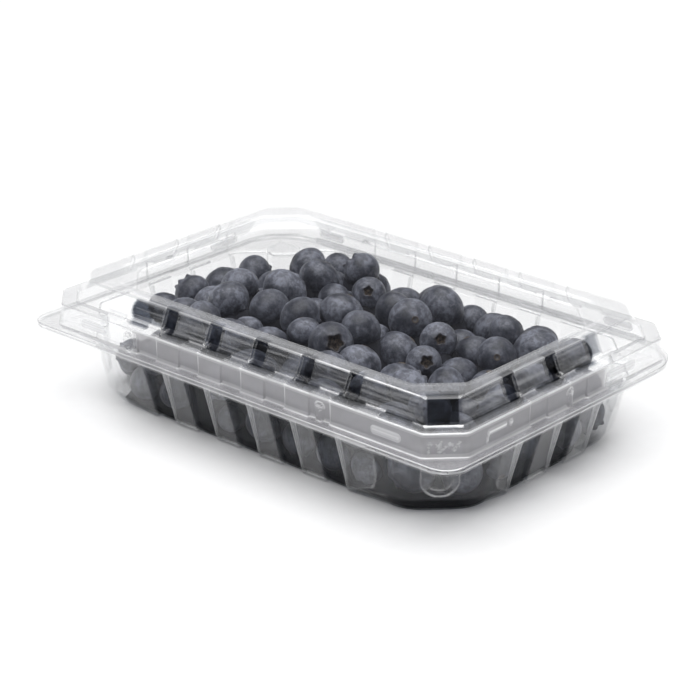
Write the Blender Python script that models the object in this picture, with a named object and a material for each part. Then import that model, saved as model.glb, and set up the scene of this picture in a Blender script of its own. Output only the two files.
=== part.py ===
"""Hinged clear punnet of blueberries: a fluted tray, its lid on a living hinge, and the fruit.

Frame: origin on the ground under the middle of the tray, +X along the long side, +Y to the
hinge at the back, +Z up. Sizes are in millimetres here and turned to metres as meshes are made.
"""
import math

import bmesh
import bpy
import numpy as np
from mathutils import Vector

MM = 0.001

# --- driving sizes, in mm ------------------------------------------------------------------
LENGTH = 187.0                 # flange, along X
WIDTH = 127.0                  # flange, along Y
HEIGHT = 41.6                  # ground to the top of the lid's ridge
RIM_Z = 25.2                   # plane where lid and tray meet
FILM = 0.6                     # wall
GAP = 0.3                      # free space left between two pieces that touch

FRONT_CUT = 4.1                # corner cut of the flange at the opening side
HINGE_CUT = 10.5               # and at the hinge side
LIP_DROP = 1.2                 # turned-down edge of the tray's flange

SKIRT_INSET = 3.5              # lid: upright wall above the flange
LEDGE_Z = 33.8                 # lid: narrow shelf on top of that wall
RIDGE_INSET = 8.2              # lid: outer foot of the raised ridge
CREST_INSET = 12.8             # lid: where the ridge's top starts
CREST_WIDTH = 4.2
PANEL_INSET = 19.2             # lid: sunk middle panel
PANEL_DROP = 3.0
SKIRT_CUT = 12.0               # corner cuts of the lid's walls
RIDGE_CUT = 13.0
PANEL_CUT = 15.0
SKIRT_BEND = 3.0               # radius of the bends beside the corner cuts
RIDGE_BEND = 6.0
RIDGE_LEAN = 2.4               # how far the ridge's outer wall leans in up to its shoulder
SHOULDER_DROP = 2.0            # shoulder below the ridge's top

WALL_TOP_INSET = 4.4           # tray: fluted wall under the flange
WALL_FOOT_INSET = 10.4         # tray: foot of the fluted wall
BASE_INSET = 13.3              # tray: flat base
BEVEL_Z = 4.5                  # tray: height of the slope between base and wall
WALL_TOP_CUT = 25.0
WALL_FOOT_CUT = 17.0
BASE_CUT = 13.7
CORNER_BEND = 5.0              # radius of the bends beside a wall's corner cut
BASE_BEND = 14.0
CORNER_BEND_FOOT = 10.0        # the same at the foot of the tray's wall
SCOOP_DEPTH = 3.5              # hollow in each corner of the tray, from the flange down
SCOOP_FOOT_Z = 10.0
SCOOP_WIDTH = 14.0
SCOOP_ROOM = 0.8               # share of the cut that a scoop may take
SLANT = 1.05                   # level thickness of a drafted wall, over its own thickness
BASE_LIFT = 0.2                # how much higher the base's slope starts on the inside
BASE_DRAW = 0.3                # and how much further in it ends

HOLLOW_WIDTH = 8.4             # hollow flutes between the standing panels of the walls
LONG_PITCH = 19.2
LONG_HOLLOWS = [LONG_PITCH * k for k in range(-2, 3)]
SKIRT_HOLLOWS = [LONG_PITCH * k for k in range(-3, 4)]
SHORT_PITCH = 20.4
SHORT_HOLLOWS = [SHORT_PITCH * (k + 0.25) for k in (-1, 0, 1)]
FLUTE_SLOPE = 0.7              # width of a flute's side wall
FLUTE_TOP = 2.8                # depth of the tray's flutes at the top and at the foot
FLUTE_FOOT = 1.1
SKIRT_FLUTE_FOOT = 1.3         # depth of the lid's flutes at the foot and at the top
SKIRT_FLUTE_TOP = 0.3

NOTCH_WIDTH = 6.0              # notches across the ridge
NOTCH_DEPTH = 1.6
NOTCH_SLOPE = 0.8
CREST_NOTCH = 0.6              # share of the notch's depth at the crest
CREST_DROP = 1.0               # dip of the crest in a notch
LONG_NOTCH_PITCH = 20.2
LONG_NOTCH_SHIFT = 6.5         # the long sides' notches aren't centred
LONG_NOTCHES = [LONG_NOTCH_PITCH * k + LONG_NOTCH_SHIFT for k in range(-3, 3)]
SHORT_NOTCH_PITCH = 21.3
SHORT_NOTCHES = [SHORT_NOTCH_PITCH * k for k in (-1, 0, 1)]

BERRY_COUNT = 186
BERRY_RADIUS = 7.1
BERRY_SPREAD = 0.8             # spread of the radii
BERRY_REACH = 1.5              # most that a radius differs from the middle one
POUR = 38                      # which of the many ways the berries may fall
POUR_HEIGHTS = (8.0, 60.0)     # they start spread between these heights
POUR_SHARE = 0.9               # over this share of the length and the width
PUSHES = 3                     # rounds of pushing apart in each step
PUSH = 0.3                     # share of an overlap that one round takes away
SHAKES = 620                   # steps of falling, then steps of coming to rest
RESTS = 80
FALL = 0.25                    # drop in a step of each kind
REST_FALL = 0.03
HEAP_TOP = HEIGHT - PANEL_DROP - FILM - 0.9
END_START = 60.0               # the heap falls off from here to the ends
END_RUN = 16.0
END_FALL = 9.0
SIDE_START = 40.0              # and from here to the long sides
SIDE_RUN = 10.0
SIDE_FALL = 4.0
HEAP_LOOPS = 13                # loops of points over the heap's top
HEAP_FLOOR = RIM_Z - 1.0       # lowest hollow of that top
HEAP_BEND = 6.0
HEAP_MARKS = (52.0, 20.0)      # outermost points along a long side and a short side
STEP = 0.1                     # height over which the free room changes at a step
SKIRT_ROOM = 3.0               # kept from the lid's fluted wall

BENDS = (0.0, 22.5, 45.0)      # angles of the points that round each bend of a corner
SCOOP_MARKS = (-0.5, 0.0, 0.5)  # places across a scoop, in shares of its width


# --- outlines ------------------------------------------------------------------------------
def ease(t):
    """0 to 1 with a soft start and end."""
    t = np.clip(t, 0.0, 1.0)
    return t * t * (3.0 - 2.0 * t)


def trapezoid(t, middle, width, slope):
    """1 across the width about middle, falling to 0 over the slope on each side."""
    return float(np.clip((width / 2 + slope - abs(t - middle)) / slope, 0.0, 1.0))


def edges(middles, width, slope):
    """Places where a row of trapezoids changes its slope."""
    half = width / 2
    return [m + side * d for m in middles for side in (-1, 1) for d in (half, half + slope)]


def corner(half_x, half_y, cut, bend, scoop=0.0):
    """Points round the corner at (+half_x, -half_y): a cut with a rounded bend at each end,
    and a scoop pressed into its middle."""
    reach = bend * math.tan(math.radians(22.5))

    def bend_points(centre, start):
        turns = [math.radians(start + step) for step in BENDS]
        return [(centre[0] + bend * math.cos(t), centre[1] + bend * math.sin(t)) for t in turns]

    first = bend_points((half_x - cut - reach, -half_y + bend), -90.0)
    second = bend_points((half_x - bend, -half_y + cut + reach), -45.0)
    middle = ((first[-1][0] + second[0][0]) / 2, (first[-1][1] + second[0][1]) / 2)
    span = math.dist(first[-1], second[0])
    pressed = []
    for mark in SCOOP_MARKS:
        along = mark * min(SCOOP_WIDTH, span * SCOOP_ROOM) / math.sqrt(2)
        deep = scoop * (1.0 - abs(mark)) / math.sqrt(2)
        pressed.append((middle[0] + along - deep, middle[1] + along + deep))
    return first + pressed + second


def no_shift(_):
    """A plain side."""
    return (0.0, 0.0)


class Outline:
    """Loops round the punnet that all have the same number of points, for skinning in rows."""

    def __init__(self, long_marks, short_marks):
        self.long_marks = sorted(long_marks)
        self.short_marks = sorted(short_marks)

    def loop(self, inset, z, cut, bend, scoop=0.0, far=None, long_row=no_shift,
             short_row=no_shift):
        """One loop at a height. A row is a function of the place along a side that gives
        (inward, downward) shifts for flutes and notches; far is the (cut, bend) of the corners
        at the hinge, where it differs."""
        half_x, half_y = LENGTH / 2 - inset, WIDTH / 2 - inset
        near = corner(half_x, half_y, cut, bend, scoop)
        far = corner(half_x, half_y, *far) if far else near
        points = []
        for x in self.long_marks:
            inward, down = long_row(x)
            points.append((x, -half_y + inward, z - down))
        points += [(x, y, z) for x, y in near]
        for y in self.short_marks:
            inward, down = short_row(y)
            points.append((half_x - inward, y, z - down))
        points += [(x, -y, z) for x, y in reversed(far)]
        for x in reversed(self.long_marks):
            inward, down = long_row(x)
            points.append((x, half_y - inward, z - down))
        points += [(-x, -y, z) for x, y in far]
        for y in reversed(self.short_marks):
            inward, down = short_row(y)
            points.append((-half_x + inward, y, z - down))
        points += [(-x, y, z) for x, y in reversed(near)]
        return points


def flute_row(middles, depth):
    """Shift inward at the hollow flutes."""
    def row(t):
        return (depth * max(trapezoid(t, m, HOLLOW_WIDTH, FLUTE_SLOPE) for m in middles), 0.0)
    return row


def notch_row(middles, inward, down):
    """Shift inward and down at the notches of the ridge."""
    def row(t):
        cut = max(trapezoid(t, m, NOTCH_WIDTH - 2 * NOTCH_SLOPE, NOTCH_SLOPE) for m in middles)
        return (inward * cut, down * cut)
    return row


# --- meshes --------------------------------------------------------------------------------
def skin(name, loops):
    """Closed body through a stack of loops, capped at both ends."""
    bm = bmesh.new()
    rows = [[bm.verts.new(Vector(p) * MM) for p in loop] for loop in loops]
    count = len(rows[0])
    for below, above in zip(rows, rows[1:]):
        for i in range(count):
            j = (i + 1) % count
            bm.faces.new((below[i], below[j], above[j], above[i]))
    bm.faces.new(list(reversed(rows[0])))
    bm.faces.new(rows[-1])
    bmesh.ops.triangulate(bm, faces=bm.faces)
    bmesh.ops.recalc_face_normals(bm, faces=bm.faces)
    mesh = bpy.data.meshes.new(name)
    bm.to_mesh(mesh)
    bm.free()
    return mesh


def material(name, colour, roughness, alpha=1.0):
    made = bpy.data.materials.new(name)
    made.use_nodes = True
    shader = made.node_tree.nodes["Principled BSDF"]
    shader.inputs["Base Color"].default_value = (*colour, 1.0)
    shader.inputs["Roughness"].default_value = roughness
    shader.inputs["Metallic"].default_value = 0.0
    shader.inputs["Alpha"].default_value = alpha
    return made


def add(name, mesh, look, parent=None):
    piece = bpy.data.objects.new(name, mesh)
    bpy.context.scene.collection.objects.link(piece)
    mesh.materials.append(look)
    if parent:
        piece.parent = parent
        piece.matrix_parent_inverse = parent.matrix_basis.inverted()
    return piece


# --- tray ----------------------------------------------------------------------------------
def flange_loop(outline, inset, z):
    """Edge of a flange, with wider rounding at the hinge."""
    return outline.loop(inset, z, FRONT_CUT, round_bend(FRONT_CUT),
                        far=(HINGE_CUT, round_bend(HINGE_CUT)))


def round_bend(cut):
    """The bend radius that makes a corner cut one round arc."""
    return cut / (2.0 - math.sqrt(2.0))


def make_tray():
    outline = Outline(edges(LONG_HOLLOWS, HOLLOW_WIDTH, FLUTE_SLOPE),
                      edges(SHORT_HOLLOWS, HOLLOW_WIDTH, FLUTE_SLOPE))
    top = RIM_Z - GAP / 2

    def wall(thickness, z, scoop):
        """The drafted wall at a height between the base's slope and the flange."""
        share = (z - BEVEL_Z) / (top - BEVEL_Z)
        depth = FLUTE_FOOT + share * (FLUTE_TOP - FLUTE_FOOT)
        inset = WALL_FOOT_INSET + share * (WALL_TOP_INSET - WALL_FOOT_INSET) + thickness
        cut = WALL_FOOT_CUT + share * (WALL_TOP_CUT - WALL_FOOT_CUT)
        bend = CORNER_BEND_FOOT + share * (CORNER_BEND - CORNER_BEND_FOOT)
        return outline.loop(inset, z, cut, bend, scoop,
                            long_row=flute_row(LONG_HOLLOWS, depth),
                            short_row=flute_row(SHORT_HOLLOWS, depth))

    slant = FILM * SLANT
    loops = [
        outline.loop(BASE_INSET, 0.0, BASE_CUT, BASE_BEND),
        wall(0.0, BEVEL_Z, 0.0),
        wall(0.0, SCOOP_FOOT_Z, 0.0),
        wall(0.0, top - FILM, SCOOP_DEPTH),
        flange_loop(outline, FILM, top - FILM),
        flange_loop(outline, FILM, top - LIP_DROP),
        flange_loop(outline, 0.0, top - LIP_DROP),
        flange_loop(outline, 0.0, top),
        wall(slant, top, SCOOP_DEPTH),
        wall(slant, SCOOP_FOOT_Z, 0.0),
        wall(slant, BEVEL_Z + BASE_LIFT, 0.0),
        outline.loop(BASE_INSET + BASE_DRAW, FILM, BASE_CUT, BASE_BEND),
    ]
    return skin("tray", loops)


# --- lid -----------------------------------------------------------------------------------
def make_lid():
    outline = Outline(edges(SKIRT_HOLLOWS, HOLLOW_WIDTH, FLUTE_SLOPE)
                      + edges(LONG_NOTCHES, NOTCH_WIDTH - 2 * NOTCH_SLOPE, NOTCH_SLOPE),
                      edges(SHORT_HOLLOWS, HOLLOW_WIDTH, FLUTE_SLOPE)
                      + edges(SHORT_NOTCHES, NOTCH_WIDTH - 2 * NOTCH_SLOPE, NOTCH_SLOPE))
    bottom = RIM_Z + GAP / 2

    def skirt(inset, z, depth):
        return outline.loop(inset, z, SKIRT_CUT, SKIRT_BEND,
                            long_row=flute_row(SKIRT_HOLLOWS, depth),
                            short_row=flute_row(SHORT_HOLLOWS, depth))

    def ridge(inset, z, share, drop=0.0, cut=RIDGE_CUT):
        return outline.loop(inset, z, cut, RIDGE_BEND,
                            long_row=notch_row(LONG_NOTCHES, NOTCH_DEPTH * share, drop),
                            short_row=notch_row(SHORT_NOTCHES, NOTCH_DEPTH * share, drop))

    shoulder_z = HEIGHT - SHOULDER_DROP
    shoulder = RIDGE_INSET + RIDGE_LEAN
    panel_z = HEIGHT - PANEL_DROP
    outer = [
        flange_loop(outline, 0.0, bottom),
        flange_loop(outline, 0.0, bottom + FILM),
        skirt(SKIRT_INSET, bottom + FILM, SKIRT_FLUTE_FOOT),
        skirt(SKIRT_INSET, LEDGE_Z, SKIRT_FLUTE_TOP),
        ridge(RIDGE_INSET, LEDGE_Z, 0.0),
        ridge(shoulder, shoulder_z, 1.0),
        ridge(CREST_INSET, HEIGHT, CREST_NOTCH, CREST_DROP),
        ridge(CREST_INSET + CREST_WIDTH, HEIGHT, 0.0),
        ridge(PANEL_INSET, panel_z, 0.0, cut=PANEL_CUT),
    ]
    inner = [
        skirt(SKIRT_INSET + FILM, bottom, SKIRT_FLUTE_FOOT),
        skirt(SKIRT_INSET + FILM, LEDGE_Z - FILM, SKIRT_FLUTE_TOP),
        ridge(RIDGE_INSET + FILM, LEDGE_Z - FILM, 0.0),
        ridge(shoulder + FILM, shoulder_z - FILM / 2, 1.0),
        ridge(CREST_INSET + FILM / 3, HEIGHT - FILM, CREST_NOTCH, CREST_DROP),
        ridge(CREST_INSET + CREST_WIDTH - FILM / 2, HEIGHT - FILM, 0.0),
        ridge(PANEL_INSET - FILM / 2, panel_z - FILM, 0.0, cut=PANEL_CUT),
    ]
    return skin("lid", list(reversed(inner)) + outer)


# --- fruit ---------------------------------------------------------------------------------
def half_sizes(z):
    """Free half length, half width and corner cut inside tray and lid at a height."""
    heights = (0.0, BEVEL_Z, RIM_Z, RIM_Z + STEP, LEDGE_Z - STEP, LEDGE_Z,
               HEIGHT - SHOULDER_DROP, HEIGHT)
    insets = (BASE_INSET, WALL_FOOT_INSET + FLUTE_FOOT, WALL_TOP_INSET + FLUTE_TOP,
              SKIRT_INSET + SKIRT_ROOM, SKIRT_INSET + SKIRT_ROOM, RIDGE_INSET,
              RIDGE_INSET + RIDGE_LEAN + NOTCH_DEPTH, CREST_INSET + NOTCH_DEPTH)
    cuts = (BASE_CUT, WALL_FOOT_CUT, WALL_TOP_CUT, SKIRT_CUT, SKIRT_CUT, RIDGE_CUT, RIDGE_CUT,
            RIDGE_CUT)
    inset = np.interp(z, heights, insets) + FILM + GAP
    return LENGTH / 2 - inset, WIDTH / 2 - inset, np.interp(z, heights, cuts)


def settle(count, radius, seed):
    """Centres and radii of berries that were poured in and shaken down."""
    rng = np.random.default_rng(seed)
    radii = rng.normal(radius, BERRY_SPREAD, count)
    radii = np.clip(radii, radius - BERRY_REACH, radius + BERRY_REACH)
    half_x, half_y, _ = half_sizes(RIM_Z)
    low, high = POUR_HEIGHTS
    places = rng.uniform((-half_x, -half_y, low), (half_x, half_y, high), (count, 3))
    places *= (POUR_SHARE, POUR_SHARE, 1.0)
    for step in range(SHAKES + RESTS):
        places[:, 2] -= FALL if step < SHAKES else REST_FALL
        for _ in range(PUSHES):
            apart = places[:, None, :] - places[None, :, :]
            distance = np.linalg.norm(apart, axis=2) + 1e-9
            overlap = radii[:, None] + radii[None, :] - distance
            np.fill_diagonal(overlap, 0.0)
            push = np.clip(overlap, 0.0, None)[:, :, None] * apart / distance[:, :, None]
            places += push.sum(axis=1) * PUSH
            hold_inside(places, radii)
    return places, radii


def heap_roof(places):
    """Highest point that a berry at each place may reach."""
    ends = ease((np.abs(places[:, 0]) - END_START) / END_RUN)
    sides = ease((np.abs(places[:, 1]) - SIDE_START) / SIDE_RUN)
    return HEAP_TOP - END_FALL * ends - SIDE_FALL * sides


def hold_inside(places, radii):
    """Moves centres back inside the walls, above the base and under the heap's roof."""
    half_x, half_y, cut = half_sizes(places[:, 2])
    places[:, 0] = np.clip(places[:, 0], -half_x + radii, half_x - radii)
    places[:, 1] = np.clip(places[:, 1], -half_y + radii, half_y - radii)
    beyond = (np.abs(places[:, 0]) + np.abs(places[:, 1]) - (half_x + half_y - cut)) / math.sqrt(2)
    back = np.clip(beyond + radii, 0.0, None) / math.sqrt(2)
    places[:, 0] -= np.sign(places[:, 0]) * back
    places[:, 1] -= np.sign(places[:, 1]) * back
    places[:, 2] = np.clip(places[:, 2], FILM + GAP + radii, heap_roof(places) - radii)


def heap_height(x, y, places, radii):
    """Top of the heap over a point: the highest berry there, with the hollows between filled."""
    level = np.hypot(places[:, 0] - x, places[:, 1] - y)
    over = level < radii
    tops = places[over, 2] + np.sqrt(radii[over] ** 2 - level[over] ** 2)
    return float(tops.max()) if len(tops) else 0.0


def make_berries():
    places, radii = settle(BERRY_COUNT, BERRY_RADIUS, POUR)
    long_end, short_end = HEAP_MARKS
    outline = Outline(np.linspace(-long_end, long_end, 12), np.linspace(-short_end, short_end, 6))

    def level(inset, z, cut):
        return outline.loop(inset + FILM + GAP, z, cut, HEAP_BEND)

    # each loop keeps a little more room to the film than the one below it
    foot = level(BASE_INSET + 0.6, FILM + GAP, BASE_CUT)
    bevel = level(WALL_FOOT_INSET + FLUTE_FOOT + 0.7, BEVEL_Z + FILM, WALL_FOOT_CUT)
    brim = level(WALL_TOP_INSET + FLUTE_TOP + 1.2, RIM_Z - 1.5, WALL_TOP_CUT)

    def topped(share):
        """A loop drawn in towards the middle, lying on the berries under it."""
        points = []
        for x, y, z in brim:
            x, y = x * share, y * share
            points.append((x, y, max(heap_height(x, y, places, radii), HEAP_FLOOR)))
        return points

    tops = [topped(1.0 - (k + 0.6) / HEAP_LOOPS) for k in range(HEAP_LOOPS - 1)]
    return skin("berries", [foot, bevel, brim] + tops)


# --- the part ------------------------------------------------------------------------------
def main():
    for old in list(bpy.data.objects):
        bpy.data.objects.remove(old)

    clear = material("clear_plastic", (0.9, 0.92, 0.93), 0.08, 0.3)
    skin_blue = material("berry_skin", (0.02, 0.03, 0.06), 0.5)

    hinge = bpy.data.objects.new("hinge_line", None)
    bpy.context.scene.collection.objects.link(hinge)
    hinge.location = Vector((0.0, WIDTH / 2, RIM_Z)) * MM

    add("tray", make_tray(), clear)
    add("lid", make_lid(), clear, parent=hinge)
    add("berries", make_berries(), skin_blue)


main()
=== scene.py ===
"""Dresses the clear hinged punnet and fills it with blueberries.

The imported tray, lid and heap give the sizes and the places. The film of the tray and of the lid
is made again here with its bends, flutes, tabs and pressed marks, the fold of the hinge is added,
and the heap becomes single berries over a dark core. Sizes are in millimetres and turned to
metres as meshes are made.
"""
import math

import bmesh
import bpy
import numpy as np
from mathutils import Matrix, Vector


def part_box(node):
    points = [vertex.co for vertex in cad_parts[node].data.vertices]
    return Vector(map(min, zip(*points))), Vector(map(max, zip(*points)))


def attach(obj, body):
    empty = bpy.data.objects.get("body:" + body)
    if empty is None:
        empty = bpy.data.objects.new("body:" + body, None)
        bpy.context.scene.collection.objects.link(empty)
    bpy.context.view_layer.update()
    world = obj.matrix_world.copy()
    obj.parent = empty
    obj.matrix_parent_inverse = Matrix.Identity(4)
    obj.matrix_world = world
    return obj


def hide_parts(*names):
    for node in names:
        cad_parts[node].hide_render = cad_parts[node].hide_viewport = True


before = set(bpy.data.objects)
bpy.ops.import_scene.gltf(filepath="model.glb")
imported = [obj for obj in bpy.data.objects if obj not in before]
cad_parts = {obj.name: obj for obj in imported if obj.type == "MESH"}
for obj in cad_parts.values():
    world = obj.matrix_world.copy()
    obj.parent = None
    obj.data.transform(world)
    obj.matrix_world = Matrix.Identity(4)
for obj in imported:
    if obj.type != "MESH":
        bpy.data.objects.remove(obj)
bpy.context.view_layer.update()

MM = 0.001


# --- sizes of the punnet, in mm -------------------------------------------------------------
def box_mm(node):
    low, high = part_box(node)
    return low / MM, high / MM


lid_low, lid_high = box_mm("lid")
LENGTH = lid_high.x - lid_low.x
WIDTH = lid_high.y - lid_low.y
HEIGHT = lid_high.z
TRAY_RIM = box_mm("tray")[1].z   # top of the tray's flange
LID_RIM = lid_low.z            # underside of the lid's flange
FILM = 0.5                     # the sheet that both are pressed from
MERGE = 0.02                   # points nearer than this become one

FRONT_CUT = 4.1                # corner cuts of the flanges at the opening and at the hinge
HINGE_CUT = 10.5
LIP_DROP = 1.2                 # turned-down edge of the tray's flange
HINGE_ROOM = 1.6               # the flanges stop this short of the back, where the fold lies
HINGE_LENGTH = 150.0

SKIRT_INSET = 3.5              # lid: upright wall above the flange
LEDGE_Z = 33.8                 # lid: narrow shelf on top of that wall
RIDGE_INSET = 8.2              # lid: outer foot of the rounded ridge
CREST_INSET = 11.5             # lid: where the ridge's flat top starts
CREST_WIDTH = 5.5
PANEL_INSET = 19.2             # lid: sunk middle panel
PANEL_DROP = 3.0
SKIRT_CUT, RIDGE_CUT, CREST_CUT, PANEL_CUT = 9.6, 8.0, 11.5, 15.0
SKIRT_BEND, RIDGE_BEND, PANEL_BEND = 3.0, 1.8, 6.0   # radii beside the corner cuts

WALL_TOP_INSET, WALL_FOOT_INSET, BASE_INSET = 4.4, 10.4, 13.3
BEVEL_Z = 4.5                  # tray: height of the slope between base and wall
WALL_TOP_CUT, WALL_FOOT_CUT, BASE_CUT = 25.0, 17.0, 13.7
WALL_TOP_BEND, WALL_FOOT_BEND, BASE_BEND = 5.0, 10.0, 14.0
FOOT_DROP, FOOT_SHIFT = 0.72, 0.9   # share by which the panels' feet stand lower, and how far in
SCOOP_EDGE_DEPTH, SCOOP_DEPTH = 0.8, 3.2   # hollow in each corner of the tray, foot and top
SCOOP_RADIUS = 6.0
SCOOP_FOOT_Z = 5.5

HOLLOW_WIDTH = 8.4             # hollow flutes between the standing panels of the walls
FLUTE_SLOPE = 0.5              # width of a flute's side wall
LONG_HOLLOWS = 19.2 * np.arange(-2, 3)   # places along the sides, from their middles
TABS = 19.2 * np.arange(-3, 4)
SHORT_HOLLOWS = 20.4 * (np.arange(-1, 2) + 0.25)
TRAY_FLUTE = (1.1, 2.8)        # depth of the flutes at the foot and at the top
SKIRT_FLUTE = (0.7, 0.25)
TAB_WIDTH, TAB_SLOPE, TAB_RISE = 8.0, 0.5, 0.6   # raised tabs across the ledge, over the flutes
NOTCH_WIDTH, NOTCH_SLOPE, NOTCH_DEPTH = 5.2, 0.6, 1.5   # grooves wrapped across the ridge
LONG_NOTCHES = 20.2 * np.arange(-2, 3) + 6.5
SHORT_NOTCHES = 21.3 * np.arange(-1, 2)

BERRY_COUNT = 186
BERRY_RADIUS = 7.1
BERRY_SPREAD = 0.8
BERRY_REACH = 1.5              # most that a radius differs from the middle one
POUR = 38                      # which of the many ways the berries may fall


# --- outline of the punnet ------------------------------------------------------------------
def ease(t):
    """0 below 0, 1 above 1 and smooth between."""
    t = np.clip(t, 0.0, 1.0)
    return t * t * (3.0 - 2.0 * t)


def between(start, end, share):
    return start + share * (end - start)


def plateau(t, middles, width, slope):
    """1 across the width about each middle, easing to 0 over the slope on both sides."""
    t = np.asarray(t, float)[..., None]
    return ease((width / 2 + slope - np.abs(t - np.asarray(middles, float))) / slope).max(-1)


def marks_of(middles, width, slope, steps=4):
    """Places along a side that a row of plateaus needs points at."""
    across = width / 2 + slope * np.linspace(0.0, 1.0, steps)
    across = np.concatenate([across, [width / 2 - 0.4, width / 2 + slope + 0.4]])
    return (np.asarray(middles, float)[:, None, None]
            + across[None, :, None] * np.array([-1.0, 1.0])).ravel()


FRONT, RIGHT, BACK, LEFT, CORNERS = range(5)
LONG_KEPT, SHORT_KEPT = 55.0, 25.4   # no point nearer the middle of a side is ever moved
TIGHT_BEND = 0.8                     # radius at which a bend's painted line shows fully
FAINT_BEND = 0.25                    # share of that line which doesn't show yet
BEND_STEPS = np.radians(np.linspace(0.0, 45.0, 7))
FAR_OFF = 99.0                       # place of the points that are on no side and no cut
LEFT_END_FREE = (60.0, 14.0)         # where the fruit ends towards the left, and over what length
FAR_CORNER_FREE = (14.0, 26.0)       # the same at the right end, towards the back


def bend_reach(bend):
    """How far a bend of 45 degrees goes along each of the straights it joins."""
    return bend * math.tan(math.radians(22.5))


def corner(half_x, half_y, cut, bend, marks):
    """Round the corner at (+half_x, -half_y): a straight cut between two bends, and how far
    each point lies from the middle of the cut."""
    reach = bend_reach(bend)

    def arc(x, y, start):
        turns = BEND_STEPS + math.radians(start)
        return np.stack([x + bend * np.cos(turns), y + bend * np.sin(turns)], -1)

    first = arc(half_x - cut - reach, -half_y + bend, -90.0)
    second = arc(half_x - bend, -half_y + cut + reach, -45.0)
    middle = (first[-1] + second[0]) / 2
    span = np.linalg.norm(second[0] - first[-1])
    across = marks * min(SCOOP_RADIUS + 2.0, span * 0.47)
    straight = middle + across[:, None] * np.array([1.0, 1.0]) / math.sqrt(2)
    from_middle = [np.full(len(first), -FAR_OFF), across, np.full(len(second), FAR_OFF)]
    return np.concatenate([first, straight, second]), np.concatenate(from_middle)


class Outline:
    """Loops round the punnet with the same number of points each. For every point it knows the
    side it is on, its place along that side and which way is inward."""

    def __init__(self, long_marks, short_marks, corner_marks=9):
        self.long_marks = self.thinned(long_marks)
        self.short_marks = self.thinned(short_marks)
        self.corner_marks = np.linspace(-1.0, 1.0, corner_marks)
        _, across = corner(50.0, 50.0, 10.0, 5.0, self.corner_marks)
        n, m, c = len(self.long_marks), len(self.short_marks), len(across)
        counts = [n, c, m, c, n, c, m, c]
        self.side = np.repeat([FRONT, CORNERS, RIGHT, CORNERS, BACK, CORNERS, LEFT, CORNERS],
                              counts)
        diagonal = math.sqrt(0.5)
        inward = [(0, 1), (-diagonal, diagonal), (-1, 0), (-diagonal, -diagonal),
                  (0, -1), (diagonal, -diagonal), (1, 0), (diagonal, diagonal)]
        self.inward = np.repeat(np.array(inward, float), counts, axis=0)

    def on(self, *sides):
        return np.isin(self.side, sides)

    @staticmethod
    def thinned(marks, least=0.12):
        kept = []
        for mark in sorted(marks):
            if not kept or mark - kept[-1] > least:
                kept.append(float(mark))
        return np.array(kept)

    @staticmethod
    def drawn_in(marks, kept, limit):
        """The marks, with the outer ones moved in where a loop's straight side is too short."""
        last = np.abs(marks).max()
        limit -= 0.3
        if last <= limit:
            return marks
        kept = min(kept, limit - 1.0)
        past = np.clip(np.abs(marks) - kept, 0.0, None)
        moved = np.minimum(np.abs(marks), kept) + past * (limit - kept) / (last - kept)
        return np.sign(marks) * moved

    def loop(self, inset, cut, bend, far=None, back=0.0):
        """x, y and the place along the side. far is the cut and bend of the corners at the
        hinge, and back draws the hinge side in."""
        half_x, half_y = LENGTH / 2 - inset, WIDTH / 2 - inset
        near, across = corner(half_x, half_y, cut, bend, self.corner_marks)
        behind, far_across = corner(half_x, half_y - back, *(far or (cut, bend)), self.corner_marks)
        straight = -cut - bend_reach(bend)
        long = self.drawn_in(self.long_marks, LONG_KEPT, half_x + straight)
        short = self.drawn_in(self.short_marks, SHORT_KEPT, half_y + straight)
        parts = [
            np.stack([long, np.full(len(long), -half_y)], -1), near,
            np.stack([np.full(len(short), half_x), short], -1), (behind * (1, -1))[::-1],
            np.stack([long[::-1], np.full(len(long), half_y - back)], -1), behind * (-1, -1),
            np.stack([np.full(len(short), -half_x), short[::-1]], -1), (near * (-1, 1))[::-1],
        ]
        place = np.concatenate([long, across, short, far_across[::-1],
                                long[::-1], far_across, short[::-1], across[::-1]])
        return np.concatenate(parts), place

    def along_sides(self, place, long_middles, short_middles, width, slope):
        """1 at the middles on the long and short sides, 0 away from them and on the corners."""
        return (self.on(FRONT, BACK) * plateau(place, long_middles, width, slope)
                + self.on(RIGHT, LEFT) * plateau(place, short_middles, width, slope))

    def flute_walls(self, hollow):
        """The flutes' side walls that look away from the near and the far corner, which catch
        the light, and those that look towards them, which stay dark."""
        after, before = np.roll(hollow, -1), np.roll(hollow, 1)
        falls = (after < hollow - 0.001) | (hollow < before - 0.001)
        rises = (after > hollow + 0.001) | (hollow > before + 0.001)
        on_long, on_side = self.on(FRONT, BACK), self.side != CORNERS
        return np.where(on_long, falls, rises) * on_side, np.where(on_long, rises, falls) * on_side


def round_bend(cut):
    """The bend radius that makes a corner cut one round arc."""
    return cut / (2.0 - math.sqrt(2.0))


HINGE_SIDE = (HINGE_CUT, round_bend(HINGE_CUT)), HINGE_ROOM   # what the flanges' edges have there


def near_corner(outline, xy):
    """The points of the corner between the front and the right side."""
    return (xy[:, 0] > 0.0) & (xy[:, 1] < 0.0) & (outline.side == CORNERS)


def filled(xy):
    """1 where the fruit lies against the walls, 0 at the left end and the far right corner,
    which it leaves free."""
    left = ease((-xy[:, 0] - LEFT_END_FREE[0]) / LEFT_END_FREE[1])
    right = ease((xy[:, 1] - FAR_CORNER_FREE[0]) / FAR_CORNER_FREE[1]) * (xy[:, 0] > 60.0)
    return 1.0 - np.maximum(left, right)


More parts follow.
